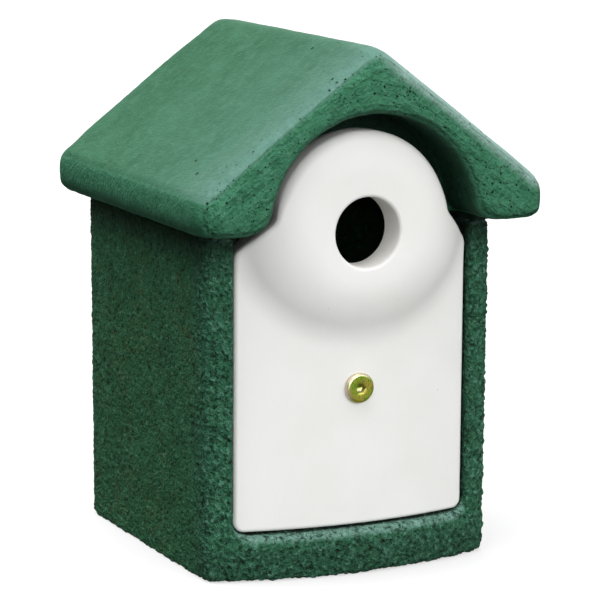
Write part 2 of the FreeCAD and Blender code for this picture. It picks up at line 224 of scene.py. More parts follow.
def dense_copy(node, name, voxel):
    """An even, fine mesh over a CAD node's skin."""
    made = add_object(name, frame["nodes"][node].data.copy())
    remesh = made.modifiers.new("remesh", "REMESH")
    remesh.mode = "VOXEL"
    remesh.voxel_size = voxel * MM
    return applied(made)


def vertices(mesh, field="co"):
    """Vertex places in mm, or unit normals."""
    values = np.empty(len(mesh.vertices) * 3, np.float32)
    mesh.vertices.foreach_get(field, values)
    values = values.reshape(-1, 3).astype(float)
    return values / MM if field == "co" else values


def set_vertices(mesh, points):
    """Moves the vertices to places in mm."""
    mesh.vertices.foreach_set("co", (points * MM).astype(np.float32).ravel())
    mesh.update()


def edges_of(mesh):
    """The two vertices of each edge."""
    pairs = np.empty(len(mesh.edges) * 2, np.int32)
    mesh.edges.foreach_get("vertices", pairs)
    return pairs.reshape(-1, 2)


def relax(points, edges, rounds, mask=1.0):
    """Draws points, in place, to the mean of their neighbours, in proportion to mask."""
    total = len(points)
    links = np.bincount(edges.ravel(), minlength=total)
    mask = np.broadcast_to(mask, total)
    for _ in range(rounds):
        for axis in range(3):
            values = points[:, axis]
            sums = np.bincount(edges[:, 0], values[edges[:, 1]], total)
            sums += np.bincount(edges[:, 1], values[edges[:, 0]], total)
            points[:, axis] = values + (sums / links - values) * mask


def lumps(points, size, seed):
    """Smooth noise from -1 to 1, with lumps of about that size."""
    return np.array([noise.noise(p) for p in (points / size + seed * 7.31).tolist()])


def cells(places):
    """Distances to the two nearest middles of scattered cells, and a random number for the nearest cell."""
    found = [noise.voronoi(p) for p in places.tolist()]
    first, second = np.array([f[0][:2] for f in found]).T
    middle = np.array([tuple(f[1][0]) for f in found])
    chance = np.abs(np.sin(middle @ (12.9898, 78.233, 37.719)) * 43758.5453) % 1  # the usual sine hash
    return first, second, chance


def pits(points, size, share, reach, seed):
    """Scattered hollows: 1 in their middles, 0 from their rims on."""
    distance, _, chance = cells(points / size + seed * 3.17)
    width = reach * (0.45 + 0.55 * chance)
    return np.where(chance < share, np.clip(1 - (distance / width) ** 2, 0, 1), 0)


def store(mesh, name, values):
    """Keeps a number for each vertex, for the material."""
    layer = mesh.attributes.new(name, "FLOAT", "POINT")
    layer.data.foreach_set("value", values.astype(np.float32))


def shade_smooth(mesh, sharp=None):
    """Smooth shading, apart from edges that turn by more than sharp degrees."""
    mesh.shade_smooth()
    if sharp is not None:
        mesh.set_sharp_from_angle(angle=math.radians(sharp))


def ring_mesh(name, rings, closed):
    """Closed skin over rings of equal point counts, in mm; open ends get a middle point."""
    count = len(rings[0])
    points = [tuple(p) for ring in rings for p in ring]
    faces = []
    last = len(rings) if closed else len(rings) - 1
    for i in range(last):
        a, b = i * count, (i + 1) % len(rings) * count
        for j in range(count):
            k = (j + 1) % count
            faces.append((a + j, a + k, b + k, b + j))
    if not closed:
        for start in (0, (len(rings) - 1) * count):
            points.append(tuple(np.mean(points[start:start + count], axis=0)))
            middle = len(points) - 1
            faces += [(start + j, start + (j + 1) % count, middle) for j in range(count)]
    mesh = bpy.data.meshes.new(name)
    mesh.from_pydata([tuple(c * MM for c in p) for p in points], [], faces)
    skin = bmesh.new()
    skin.from_mesh(mesh)
    bmesh.ops.recalc_face_normals(skin, faces=skin.faces)
    skin.to_mesh(mesh)
    skin.free()
    return mesh


def weld(mesh, gap):
    """Joins vertices that are closer than gap, in mm, and drops the faces that this leaves without area."""
    skin = bmesh.new()
    skin.from_mesh(mesh)
    bmesh.ops.remove_doubles(skin, verts=skin.verts, dist=gap * MM)
    bmesh.ops.dissolve_degenerate(skin, edges=skin.edges, dist=gap * MM)
    skin.to_mesh(mesh)
    skin.free()


# Body: coarse crumbs on its front rims and lip, finer ones on the sides

def refine(mesh, chosen):
    """Halves the edges of the faces that are chosen by their middles, in mm."""
    skin = bmesh.new()
    skin.from_mesh(mesh)
    for face in skin.faces:
        face.tag = chosen(face.calc_center_median() / MM)
    edges = [e for e in skin.edges if any(f.tag for f in e.link_faces)]
    bmesh.ops.subdivide_edges(skin, edges=edges, cuts=1, use_grid_fill=True)
    skin.to_mesh(mesh)
    skin.free()


def crumbs(points, size, seed):
    """Rounded grains of about that size, from 0 in the crevices between them to 1."""
    warp = np.array([noise.noise_vector(p) for p in (points / (1.6 * size) + seed).tolist()])
    first, second, chance = cells(points / size + 0.4 * warp + seed * 3.17)
    return ramp(second - first, 0, 0.6) * (0.6 + 0.4 * chance)


def seat_drawback(points):
    """How far each point has to go back so that the ledge doesn't swell into the panel that rests on it."""
    x, y, z = points.T
    into_panel = panel_rear(x) + SEAT_GAP - y
    seat = ramp(PANEL_HALF + 0.9 - np.abs(x), 0, 0.6) * ramp(z, PANEL_BOTTOM - 0.9, PANEL_BOTTOM - 0.3)
    return np.where((into_panel > 0) & (into_panel < SEAT_REACH), into_panel * seat, 0)


def wear_body(mesh):
    """Rounds the body's edges: a little all over, more at the front, and most along the lip."""
    points, edges = vertices(mesh), edges_of(mesh)
    _, y, z = points.T
    front = ramp(-y, 44, 56)
    relax(points, edges, BODY_ROUNDS["all"])
    relax(points, edges, BODY_ROUNDS["front"], front)
    lip = ramp(5 - np.abs(z - LIP_TOP), 0, 4) * ramp(-y, 54, 60)
    relax(points, edges, BODY_ROUNDS["lip"], lip)
    set_vertices(mesh, points)


def body_relief(points, edge):
    """Height of the cast skin in mm: swellings, crumbs and pits, coarser along the edges."""
    swell = (0.16 + 0.2 * edge) * (lumps(points, size=9.0, seed=1) + lumps(points, size=4.6, seed=2))
    swell = swell + 0.16 * lumps(points, size=2.4, seed=3)
    grain = edge * (0.7 * crumbs(points, size=3.4, seed=6)) + 0.4 * crumbs(points, size=2.4, seed=7)
    holes = (0.2 + 0.7 * edge) * pits(points, size=6.0, share=0.3, reach=0.40, seed=4)
    holes = holes + 0.8 * pits(points, size=3.2, share=0.5, reach=0.44, seed=5)
    return swell + grain - holes - 0.25


def make_body():
    """The body casting, rough on its sides and front and smoother inside its recess."""
    made = dense_copy("body_casting", "nest_box_body", BODY_VOXEL)
    mesh = made.data
    wear_body(mesh)
    refine(mesh, lambda p: abs(p.x) > BODY_HALF - 5 or p.y < -48)
    points, normals = vertices(mesh), vertices(mesh, "normal")
    x, y, z = points.T
    side = np.abs(x)
    front = ramp(-y, 40, 58)
    outer = np.maximum(ramp(side, BODY_HALF - 9, BODY_HALF - 4), front)
    recess = ramp(-y, 44, 50) * ramp(RECESS_HALF + 1.5 - side, 0, 1.5)
    recess = recess * ramp(z, LIP_TOP - 1.5, LIP_TOP)
    # Painted shade on the recess's faces behind the panel's front, in the gap round the panel
    recess_shade = recess * ramp(y - panel_front(x, PANEL_BOTTOM), -0.5, 2.5)
    foot = ramp(9 - z, 0, 8)
    height = body_relief(points, np.maximum(front, 0.7 * foot))
    rough = (0.4 + 0.6 * outer) * (1 - 0.75 * recess)
    points = points + normals * (rough * height)[:, None]
    points[:, 1] += seat_drawback(points)
    low, high = np.array(cad_bounds) / MM
    set_vertices(mesh, np.clip(points, low, high))
    store(mesh, "height", height)
    store(mesh, "coarse", front)
    store(mesh, "recess_shade", recess_shade)
    store(mesh, "ledge", front * ramp(normals[:, 2], 0.25, 0.8))
    # Painted shadow: darker under the eaves and, a little, on the lower face of the lip
    under_eave = ramp(points[:, 2], EAVE_BOTTOM - 24, EAVE_BOTTOM - 5)
    lip_face = front * ramp(LIP_TOP - 4 - points[:, 2], 0, 5)
    store(mesh, "painted_shadow", np.maximum(0.7 * under_eave, 0.25 * lip_face))
    shade_smooth(mesh)
    return made


# Roof: a smoother casting with a worn front arris, trowel marks on its fascia and a few pinholes

def near_ridge(z):
    """1 at the ridge's height, falling to 0 below it."""
    return ramp(z, ROOF_HIGH[2] - CREST_DROP, ROOF_HIGH[2] - 4)


def wear_roof(points, edges):
    """Rounds the roof's edges, in place, and gives back the zones that its relief and its paint follow."""
    relax(points, edges, ROOF_ROUNDS["all"])
    x, y, z = points.T
    side, behind = np.abs(x), y - FRONT_Y
    below_slope = -((side - ROOF_HALF) * ROOF_RISE + (z - EAVE_TOP) * ROOF_HALF) / SLOPE_LENGTH
    inward = np.minimum(np.minimum(below_slope, ROOF_HALF - side), z - EAVE_BOTTOM)
    from_arch = np.hypot(x, z - DOME_Z) - FASCIA_ARCH
    near = ramp(ARRIS_REACH - inward, 0, 9) * ramp(ARRIS_REACH - behind, 0, 9) * ramp(from_arch, 2, 8)
    relax(points, edges, ROOF_ROUNDS["arris"], near)
    # The right eave's lower edge stays sharper, as in the photo
    sharp_foot = np.where(x > 0, ramp(z, EAVE_BOTTOM + 3, EAVE_BOTTOM + 9), 1.0)
    relax(points, edges, ROOF_ROUNDS["eaves"], ramp(EAVE_REACH - (ROOF_HALF - side), 0, 8) * sharp_foot)
    tip = near * ramp(side, ROOF_HALF - 22, ROOF_HALF - 8)
    relax(points, edges, ROOF_ROUNDS["tips"], tip * np.where(x < 0, 1.0, 0.3 * sharp_foot))
    relax(points, edges, ROOF_ROUNDS["crest"], ramp(CREST_REACH - behind, 0, 16) * near_ridge(z))
    to_back = ROOF_HIGH[1] - y
    relax(points, edges, ROOF_ROUNDS["crest_back"], ramp(CREST_REACH - to_back, 0, 16) * near_ridge(z))
    return side, behind, from_arch, near, tip


def roof_relief(points, face, top, eave, worst):
    """Height of the roof's skin in mm: broad swellings, grain, trowel strokes on the fascia, and pits."""
    x, _, z = points.T
    height = 0.22 * lumps(points, size=19.0, seed=11) + 0.10 * lumps(points, size=6.5, seed=12)
    uneven = (1 - 0.8 * top) * (1 - 0.6 * eave)
    grain = 0.22 * lumps(points, size=3.6, seed=14) + 0.12 * lumps(points, size=2.4, seed=15)
    height = height + uneven * grain
    bent = np.hypot(x, STROKE_BEND)
    along = (bent * ROOF_HALF - z * ROOF_RISE) / SLOPE_LENGTH
    across = (bent * ROOF_RISE + z * ROOF_HALF) / SLOPE_LENGTH
    strokes = np.stack([along / STROKE_LENGTH, across / STROKE_WIDTH, STROKE_DRIFT * x], axis=1)
    height = height + face * 0.3 * lumps(strokes, size=1.0, seed=16)
    spots = pits(points, size=5.0, share=0.15 + 0.6 * worst, reach=0.30, seed=13)
    return height - 1.0 * np.maximum(face, worst) * spots


def make_roof():
    """The roof casting, with the attributes that its paint follows."""
    made = dense_copy("roof_casting", "nest_box_roof", ROOF_VOXEL)
    mesh = made.data
    points = vertices(mesh)
    side, behind, from_arch, near, tip = wear_roof(points, edges_of(mesh))
    set_vertices(mesh, points)
    normals = vertices(mesh, "normal")
    face = ramp(-normals[:, 1], 0.6, 0.9)
    top = ramp(normals[:, 2], 0.25, 0.6)
    eave = ramp(np.abs(normals[:, 0]), 0.6, 0.9) * ramp(side, ROOF_HALF - 8, ROOF_HALF - 4)
    crown = ramp(9 - np.abs(from_arch - 4), 0, 5) * ramp(points[:, 0], 0, 20) * face
    worst = np.maximum(np.maximum(tip, 0.7 * crown), 0.35 * near)
    points = points + normals * roof_relief(points, face, top, eave, worst)[:, None]
    set_vertices(mesh, np.clip(points, ROOF_LOW, ROOF_HIGH))
    x, y, z = points.T
    # Painted shade inside the fascia's arch and on its underside
    inside = ramp(1.5 - from_arch, 0, 2.5) * ramp(behind, 0, 3)
    to_middle = -(normals[:, 0] * x + normals[:, 2] * (z - DOME_Z)) / (from_arch + FASCIA_ARCH)
    soffit = ramp(to_middle, 0.3, 0.7) * ramp(behind, 2, 8) * ramp(ROOF_HALF - 8 - side, 0, 6)
    before_back = ramp(ROOF_HIGH[1] - y, 6, 9)
    back = np.maximum(behind, 0)
    # Paler on the upward rounding of the front arris, on the right half: partly wear, partly a painted
    # highlight
    store(mesh, "arris", near * ramp(normals[:, 2], 0.05, 0.35) * ramp(x, -2, 12))
    store(mesh, "inside", np.maximum(inside, 0.75 * soffit) * before_back)
    store(mesh, "slope", top)
    store(mesh, "fascia", face)
    # Painted sheen on the top, strongest at the front and fading towards the back
    store(mesh, "painted_sheen", top * (0.62 * np.exp(-back / 16) + 0.30 * np.exp(-back / 70)))
    store(mesh, "porous", np.clip(0.04 + 0.42 * face + 0.8 * worst, 0, 1))
    store(mesh, "eave", eave)
    # Painted shade on the lower part of the eave's face
    store(mesh, "eave_foot_shade", eave * ramp(EAVE_TOP - 6 - z, 0, 9))
    shade_smooth(mesh)
    return made


# Panel: rings from the entrance out to the rim, round the rim, and back to the bore

def corner_arc(corner, before, after, radius, steps=10):
    """Arc that rounds a corner between two directions, anticlockwise."""
    turn = math.acos(float(np.dot(before, after)))
    inward = np.array([-before[1], before[0]])
    centre = corner - before * radius * math.tan(turn / 2) + inward * radius
    angles = [turn * i / steps for i in range(steps + 1)]
    return [centre + radius * (before * math.sin(a) - inward * math.cos(a)) for a in angles]


def circle_arc(centre, radius, start, end, steps):
    """Points of a circle from one angle to another."""
    angles = np.linspace(start, end, steps)
    return [centre + radius * np.array([math.cos(a), math.sin(a)]) for a in angles]


def panel_outline(count):
    """Evenly spaced points round the panel in x and z, anticlockwise from its bottom's middle."""
    crown = np.array([0.0, DOME_Z])
    shoulder = np.array([PANEL_HALF, PANEL_SHOULDER])
    right, up = np.array([1.0, 0.0]), np.array([0.0, 1.0])
    lean = np.array([-math.cos(SHOULDER_LEAN), math.sin(SHOULDER_LEAN)])
    outward = np.array([lean[1], -lean[0]])
    begin = shoulder + outward * SHOULDER_HOLLOW - crown
    reach = PANEL_ARCH + SHOULDER_HOLLOW
    nearest = -float(begin @ lean)
    hollow = begin + lean * (nearest - math.sqrt(nearest ** 2 + reach ** 2 - float(begin @ begin)))
    touch_angle = math.atan2(hollow[1], hollow[0])
    lean_angle = math.atan2(-outward[1], -outward[0])
    half = [np.array([0.0, PANEL_BOTTOM])]
    half += corner_arc(np.array([PANEL_HALF, PANEL_BOTTOM]), right, up, PANEL_FOOT_ROUND)
    half += corner_arc(shoulder, up, lean, SHOULDER_ROUND)
    half += circle_arc(crown + hollow, SHOULDER_HOLLOW, lean_angle, touch_angle - math.pi, 10)
    half += circle_arc(crown, PANEL_ARCH, touch_angle, math.pi / 2, 40)
    line = np.array(half + [p * (-1, 1) for p in half[-2::-1]])
    along = np.concatenate([[0], np.cumsum(np.linalg.norm(np.diff(line, axis=0), axis=1))])
    spots = np.linspace(0, along[-1], count, endpoint=False)
    return np.stack([np.interp(spots, along, line[:, i]) for i in (0, 1)], axis=1)


def panel_front(x, z):
    """Depth of the panel's front: the bowed plate, the dome, and the hollow rounding between them."""
    plate = BOW_AXIS - np.sqrt(BOW_RADIUS ** 2 - x ** 2)
    away = np.hypot(x, z - DOME_Z)
    swell = np.clip(away - DOME_FLAT, 0, DOME_ROUND)
    dome = DOME_FRONT + DOME_ROUND - np.sqrt(DOME_ROUND ** 2 - swell ** 2)
    # In the plane through the dome's line and this point, a circle that touches the dome and the plate
    sideways = x / np.maximum(away, 1e-6)
    bow = BOW_RADIUS / np.maximum(sideways ** 2, 1e-4)
    deep = PANEL_FRONT + bow - DOME_FRONT - DOME_ROUND
    apart = np.hypot(DOME_FLAT, deep)
    to_dome, to_plate = DOME_ROUND + DOME_FOOT, bow + DOME_FOOT
    along = (to_dome ** 2 - to_plate ** 2 + apart ** 2) / (2 * apart)
    across = np.sqrt(to_dome ** 2 - along ** 2)
    centre = DOME_FLAT + (across * deep - along * DOME_FLAT) / apart
    depth = DOME_FRONT + DOME_ROUND + (along * deep + across * DOME_FLAT) / apart
    foot = depth + np.sqrt(DOME_FOOT ** 2 - np.clip(away - centre, -DOME_FOOT, DOME_FOOT) ** 2)
    on_dome = DOME_FLAT + (centre - DOME_FLAT) * DOME_ROUND / to_dome
    on_plate = centre * bow / to_plate
    return np.where(away < on_dome, dome, np.where(away < on_plate, foot, plate))


def panel_rear(x):
    """Depth of the back of the panel's bowed plate."""
    return BOW_AXIS - np.sqrt((BOW_RADIUS - PANEL_THICKNESS) ** 2 - x ** 2)


def edge_drop(distance, radius):
    """How far a rounded edge has fallen back, at a distance in from the rim."""
    left = np.clip(radius - distance, 0, radius)
    return radius - np.sqrt(radius ** 2 - left ** 2)


def panel_rings():
    """Rings from the entrance's edge over the face to the rim, and over the back to the bore."""
    rim = panel_outline(PANEL_POINTS)
    rim_fine = panel_outline(PANEL_POINTS * 4)
    middle = np.array([0.0, ENTRANCE_Z])
    ray = rim - middle
    length = np.linalg.norm(ray, axis=1)
    unit = ray / length[:, None]
    bore = middle + ENTRANCE_RADIUS * unit
    span = length - ENTRANCE_RADIUS

    def ring(flat, depth):
        return np.stack([flat[:, 0], np.broadcast_to(depth, PANEL_POINTS), flat[:, 1]], axis=1)

    def from_rim(flat):
        return np.array([np.min(np.hypot(*(rim_fine - p).T)) for p in flat])

    first, last = ENTRANCE_STEPS[-1], RIM_STEPS[0]
    offsets = [np.full(PANEL_POINTS, d) for d in ENTRANCE_STEPS]
    offsets += [first + (span - first - last) * i / FACE_RINGS for i in range(1, FACE_RINGS)]
    offsets += [span - d for d in RIM_STEPS]
    rings = []
    for offset in offsets:
        flat = bore + unit * offset[:, None]
        depth = panel_front(flat[:, 0], flat[:, 1])
        depth = depth + edge_drop(offset, ENTRANCE_ROUND)
        if np.min(span - offset) < 2 * HEAD_EDGE_ROUND:
            wider = (HEAD_EDGE_ROUND - PANEL_EDGE_ROUND) * ramp(flat[:, 1] - DOME_Z, 2, 20)
            depth = depth + edge_drop(from_rim(flat), PANEL_EDGE_ROUND + wider)
        rings.append(ring(flat, depth))

    edge = rings[-1][:, 1]
    rear_edge = panel_rear(rim[:, 0]) - REAR_EDGE[0][1]
    for share in (0.3, 0.6):
        rings.append(ring(rim, edge + (rear_edge - edge) * share))
    for inset, rise in REAR_EDGE:
        flat = rim - unit * inset
        rings.append(ring(flat, panel_rear(flat[:, 0]) - rise))
    shift = DOME_Z - ENTRANCE_Z
    along = unit[:, 1] * shift
    hollow = middle + unit * (along + np.sqrt(DOME_FLAT ** 2 - shift ** 2 + along ** 2))[:, None]
    inner = rim - unit * REAR_EDGE[-1][0]
    for i in range(1, BACK_RINGS + 1):
        flat = inner + (hollow - inner) * i / BACK_RINGS
        rings.append(ring(flat, panel_rear(flat[:, 0])))

    floor = DOME_FRONT + DOME_WALL
    rings.append(ring(hollow, floor + HOLLOW_ROUND))
    rings.append(ring(hollow - unit * HOLLOW_ROUND, floor))
    for share in (0.4, 0.8, 1.0):
        rings.append(ring(hollow + (bore - hollow) * share, floor))
    front_edge = rings[0][:, 1]
    for share in (0.25, 0.5, 0.75):
        rings.append(ring(bore, floor + (front_edge - floor) * share))
    return rings


def make_panel():
    """The white panel with its bolt hole, and the attributes that its paint follows."""
    made = add_object("nest_box_front_panel", ring_mesh("front_panel", panel_rings(), True))
    drill = add_object("drill", tube_mesh("drill", BOLT_HOLE_RADIUS, *DRILL))
    cut = made.modifiers.new("bolt_hole", "BOOLEAN")
    cut.object = drill
    cut.solver = "EXACT"
    applied(made)
    bpy.data.objects.remove(drill)
    mesh = made.data
    weld(mesh, WELD_GAP)
    points, normals = np.clip(vertices(mesh), PANEL_LOW, PANEL_HIGH), vertices(mesh, "normal")
    set_vertices(mesh, points)
    x, y, z = points.T
    behind = y - panel_front(x, z)
    away = np.hypot(x, z - ENTRANCE_Z)
    # Painted shade on the panel's side faces, which darkens the gap round it
    edge_shade = ramp(behind, 1.2, 2.6) * ramp(away, 30, 34)
    edge_shade = edge_shade * ramp(0.8 - np.abs(normals[:, 1]), 0, 0.4) * ramp(DOME_Z + 20 - z, 0, 20)
    store(mesh, "edge_shade", edge_shade)
    # Painted light: the bore is made paler than the rest of the panel
    store(mesh, "bore", ramp(ENTRANCE_RADIUS + 0.9 - away, 0, 0.6) * ramp(behind, 0.6, 1.6))
    shade_smooth(mesh, 50)
    return made


# Bolt: turned about its own line, with a hexagon socket and a right-hand thread

def turned(radius, depth):
    """A ring about the bolt's line; radius may differ round the ring."""
    angle = np.arange(TURN) * 2 * np.pi / TURN
    across, up = radius * np.sin(angle), radius * np.cos(angle)
    return np.stack([across, np.broadcast_to(depth, TURN), BOLT_Z + up], axis=1)


def tube_mesh(name, radius, start, end):
    """Closed plain tool for cutting a hole along the bolt's line."""
    return ring_mesh(name, [turned(radius, start), turned(radius, end)], False)


def make_bolt():
    """The plated bolt, from the bottom of its socket to its tip."""
    angle = np.arange(TURN) * 2 * np.pi / TURN
    hexagon = SOCKET_ACROSS / 2 / np.cos((angle + np.pi / 6) % (np.pi / 3) - np.pi / 6)
    underside = BOLT_FRONT + HEAD_THICKNESS
    rings = [turned(0.3 * hexagon, BOLT_FRONT + SOCKET_DEPTH + 0.35),
             turned(0.96 * hexagon, BOLT_FRONT + SOCKET_DEPTH),
             turned(hexagon, BOLT_FRONT + SOCKET_DEPTH - 0.1),
             turned(hexagon, BOLT_FRONT + 0.3),
             turned(hexagon + 0.1, BOLT_FRONT + 0.1),
             turned(hexagon + 0.35, BOLT_FRONT)]
    face = HEAD_RADIUS - HEAD_BEVEL
    for share in (0.35, 0.7, 0.95):
        start = hexagon + 0.35
        rings.append(turned(start + (face - start) * share, BOLT_FRONT))
    for step in range(8):
        a = math.pi / 2 * step / 7
        round_off = HEAD_BEVEL * (1 - math.cos(a))
        rings.append(turned(face + HEAD_BEVEL * math.sin(a), BOLT_FRONT + round_off))
    rings.append(turned(HEAD_RADIUS, underside - 0.3))
    rings.append(turned(HEAD_RADIUS - 0.3, underside))
    rings.append(turned(SHANK_RADIUS + 0.2, underside))
    rings.append(turned(SHANK_RADIUS, underside + 0.2))
    start, end = underside + PLAIN_SHANK, BOLT_TIP - 0.8
    for depth in np.arange(start, end, THREAD_PITCH / 8):
        phase = (depth / THREAD_PITCH - angle / (2 * np.pi)) % 1
        groove = THREAD_DEPTH * np.clip(1.15 * (1 - np.abs(2 * phase - 1)) - 0.05, 0, 1)
        fade = min(1.0, (depth - start) / (2 * THREAD_PITCH))
        rings.append(turned(SHANK_RADIUS - groove * fade, depth))
    rings.append(turned(SHANK_RADIUS - 0.45, end))
    rings.append(turned(SHANK_RADIUS - 0.9, BOLT_TIP))
    mesh = ring_mesh("panel_bolt", rings, False)
    points = vertices(mesh)
    away = np.hypot(points[:, 0], points[:, 2] - BOLT_Z)
    socket = ramp(SOCKET_ACROSS / 2 + 0.9 - away, 0, 0.6) * ramp(points[:, 1] - BOLT_FRONT, 0.05, 0.3)
    above = points[:, 2] - BOLT_Z
    bevel = ramp(away, face - 0.1, face + 0.6) * ramp(above - points[:, 0], -3, 4)
    # Painted highlight on the upper left of the bevel and in the socket's lower half, and painted shade in
    # the socket's upper half
    store(mesh, "painted_highlight", np.maximum(bevel, 0.8 * socket * ramp(-above, 0.2, 1.0)))
    store(mesh, "socket", socket * ramp(above, -0.8, 0.4))
    shade_smooth(mesh, 40)
    return add_object("nest_box_panel_bolt", mesh)


# Hanger screws: countersunk, with a cross recess and a coarse thread

def make_screws():
    """Both hanger screws in one mesh."""
    angle = np.arange(SCREW_TURN) * 2 * np.pi / SCREW_TURN
    turn = (angle + np.pi / 4) % (np.pi / 2) - np.pi / 4
    cross = np.minimum(CROSS_REACH / np.cos(turn), CROSS_HALF / np.maximum(np.abs(np.sin(turn)), 0.05))
    sink = SCREW_HEAD_RADIUS - SCREW_RADIUS
    # Radius and depth below the head's face, from the recess's bottom to the tip
    profile = [(0.3 * cross, 1.5), (0.7 * cross, 1.2), (0.93 * cross, 0.5), (cross, 0.06)]
    profile += [(cross + 0.08, 0.0)]
    profile += [(SCREW_HEAD_RADIUS - 0.5, 0.0), (SCREW_HEAD_RADIUS - 0.15, 0.03), (SCREW_HEAD_RADIUS, 0.2)]
    profile += [(SCREW_RADIUS, sink), (SCREW_RADIUS, sink + 0.3)]
    length = SCREWS_HIGH[1] - SCREWS_LOW[1]
    for down in np.arange(sink + 0.5, length, SCREW_PITCH / 6):
        phase = (down / SCREW_PITCH - angle / (2 * np.pi)) % 1
        taper = min(1.0, 0.3 + (length - down) / 3)
        profile.append(((SCREW_RADIUS - 0.5 * np.abs(2 * phase - 1)) * taper, down))
    profile.append((np.full(SCREW_TURN, 0.3), length))
    points, faces = [], []
    for x in (SCREWS_LOW[0] + SCREW_HEAD_RADIUS, SCREWS_HIGH[0] - SCREW_HEAD_RADIUS):
        z = SCREWS_LOW[2] + SCREW_HEAD_RADIUS
        rings = [np.stack([x + r * np.sin(angle), np.full(SCREW_TURN, SCREWS_HIGH[1] - down),
                           z + r * np.cos(angle)], axis=1) for r, down in profile]
        part = ring_mesh("hanger_screw", rings, False)
        faces += [[v + len(points) for v in f.vertices] for f in part.polygons]
        points += [tuple(v.co) for v in part.vertices]
        bpy.data.meshes.remove(part)
    mesh = bpy.data.meshes.new("hanger_screws")
    mesh.from_pydata(points, [], faces)
    store(mesh, "turned", np.ones(len(points)))
    shade_smooth(mesh, 35)
    return add_object("nest_box_hanger_screws", mesh)


# Materials

class Surface:
    """A material in the making: nodes on object coordinates, with textures sized in mm."""

    def __init__(self, name):
        self.material = bpy.data.materials.new(name)
        self.material.use_nodes = True
        self.tree = self.material.node_tree
        self.shader = self.tree.nodes["Principled BSDF"]
        self.place = self.tree.nodes.new("ShaderNodeTexCoord").outputs["Object"]

    def put(self, socket, value):
        """Sets a socket from another socket, or from a plain value."""
        if isinstance(value, bpy.types.NodeSocket):
            self.tree.links.new(value, socket)
        else:
            socket.default_value = value

    def set(self, **values):
        """Sets the shader's sockets, named with _ for blanks."""
        for name, value in values.items():
            self.put(self.shader.inputs[name.replace("_", " ")], value)

    def noise(self, size, detail=2.0, roughness=0.5, distortion=0.0, place=None):
        """Cloudy noise from 0 to 1, with clouds of about that size in mm."""
        made = self.tree.nodes.new("ShaderNodeTexNoise")
        self.put(made.inputs["Vector"], place or self.place)
        made.inputs["Scale"].default_value = 1 / (size * MM)
        made.inputs["Detail"].default_value = detail
        made.inputs["Roughness"].default_value = roughness
        made.inputs["Distortion"].default_value = distortion
        return made.outputs[0]

    def cells(self, size):
        """Distance from the middle of scattered cells, and a random colour for each cell."""
        made = self.tree.nodes.new("ShaderNodeTexVoronoi")
        self.put(made.inputs["Vector"], self.place)
        made.inputs["Scale"].default_value = 1 / (size * MM)
        return made.outputs["Distance"], made.outputs["Color"]

    def channels(self, colour):
        """Three even random numbers out of a cell's colour."""
        made = self.tree.nodes.new("ShaderNodeSeparateColor")
        self.put(made.inputs[0], colour)
        return made.outputs[:3]

    def pinholes(self, size, share, widest):
        """1 in scattered round holes; share is the part of the cells that has one."""
        distance, random = self.cells(size)
        chance, girth, _ = self.channels(random)
        width = self.span(girth, 0.3, 1.0, 0.35 * widest, widest)
        fringe = self.times(self.noise(0.25 * size, 2, 0.6), 0.5 * widest)
        ragged = self.plus(distance, fringe)
        hole = self.span(self.calc("DIVIDE", ragged, width), 0.75, 1.2, 1.0, 0.0)
        return self.times(hole, self.calc("LESS_THAN", chance, share))

    def along_slopes(self, shrink):
        """Coordinates that run along the roof's slopes, for strokes parallel to them."""
        apart = self.tree.nodes.new("ShaderNodeSeparateXYZ")
        self.put(apart.inputs[0], self.place)
        x, _, z = apart.outputs
        bend = (STROKE_BEND * MM) ** 2
        side = self.calc("SQRT", self.plus(self.times(x, x), bend))
        rise, run = ROOF_RISE / SLOPE_LENGTH, ROOF_HALF / SLOPE_LENGTH
        across = self.plus(self.times(side, rise), self.times(z, run))
        along = self.calc("SUBTRACT", self.times(side, run), self.times(z, rise))
        made = self.tree.nodes.new("ShaderNodeCombineXYZ")
        self.put(made.inputs[0], self.times(along, shrink))
        self.put(made.inputs[1], across)
        self.put(made.inputs[2], self.times(x, 0.2))
        return made.outputs[0]

    def stretched(self, scale):
        """Object coordinates, stretched where scale is under 1."""
        made = self.tree.nodes.new("ShaderNodeMapping")
        self.put(made.inputs["Vector"], self.place)
        made.inputs["Scale"].default_value = scale
        return made.outputs[0]

    def stored(self, name):
        """A number that the mesh keeps for each vertex."""
        made = self.tree.nodes.new("ShaderNodeAttribute")
        made.attribute_name = name
        return made.outputs["Fac"]

    def calc(self, operation, a, b=0.0):
        """One of Blender's sums on two values."""
        made = self.tree.nodes.new("ShaderNodeMath")
        made.operation = operation
        self.put(made.inputs[0], a)
        self.put(made.inputs[1], b)
        return made.outputs[0]

    def times(self, a, b):
        return self.calc("MULTIPLY", a, b)

    def plus(self, a, b):
        return self.calc("ADD", a, b)

    def most(self, a, b):
        return self.calc("MAXIMUM", a, b)

    def span(self, value, low, high, to_low=0.0, to_high=1.0):
        """Carries a value from one range to another, smoothly and within its ends."""
        made = self.tree.nodes.new("ShaderNodeMapRange")
        made.interpolation_type = "SMOOTHSTEP"
        self.put(made.inputs[0], value)
        for socket, end in zip(made.inputs[1:5], (low, high, to_low, to_high)):
            self.put(socket, end)
        return made.outputs[0]

    def mix(self, factor, a, b):
        """Colour a where factor is 0, and b where it is 1."""
        made = self.tree.nodes.new("ShaderNodeMix")
        made.data_type = "RGBA"
        self.put(made.inputs[0], factor)
        self.put(made.inputs[6], a)
        self.put(made.inputs[7], b)
        return made.outputs[2]

    def bump(self, height, depth):
        """Relief of that depth in mm."""
        made = self.tree.nodes.new("ShaderNodeBump")
        made.inputs["Distance"].default_value = depth * MM
        self.put(made.inputs["Height"], height)
        return made.outputs[0]


def tint(red, green, blue):
    """Linear colour from the usual 0 to 255 values."""
    def linear(c):
        c = c / 255
        return c / 12.92 if c <= 0.04045 else ((c + 0.055) / 1.055) ** 2.4
    return (linear(red), linear(green), linear(blue), 1.0)


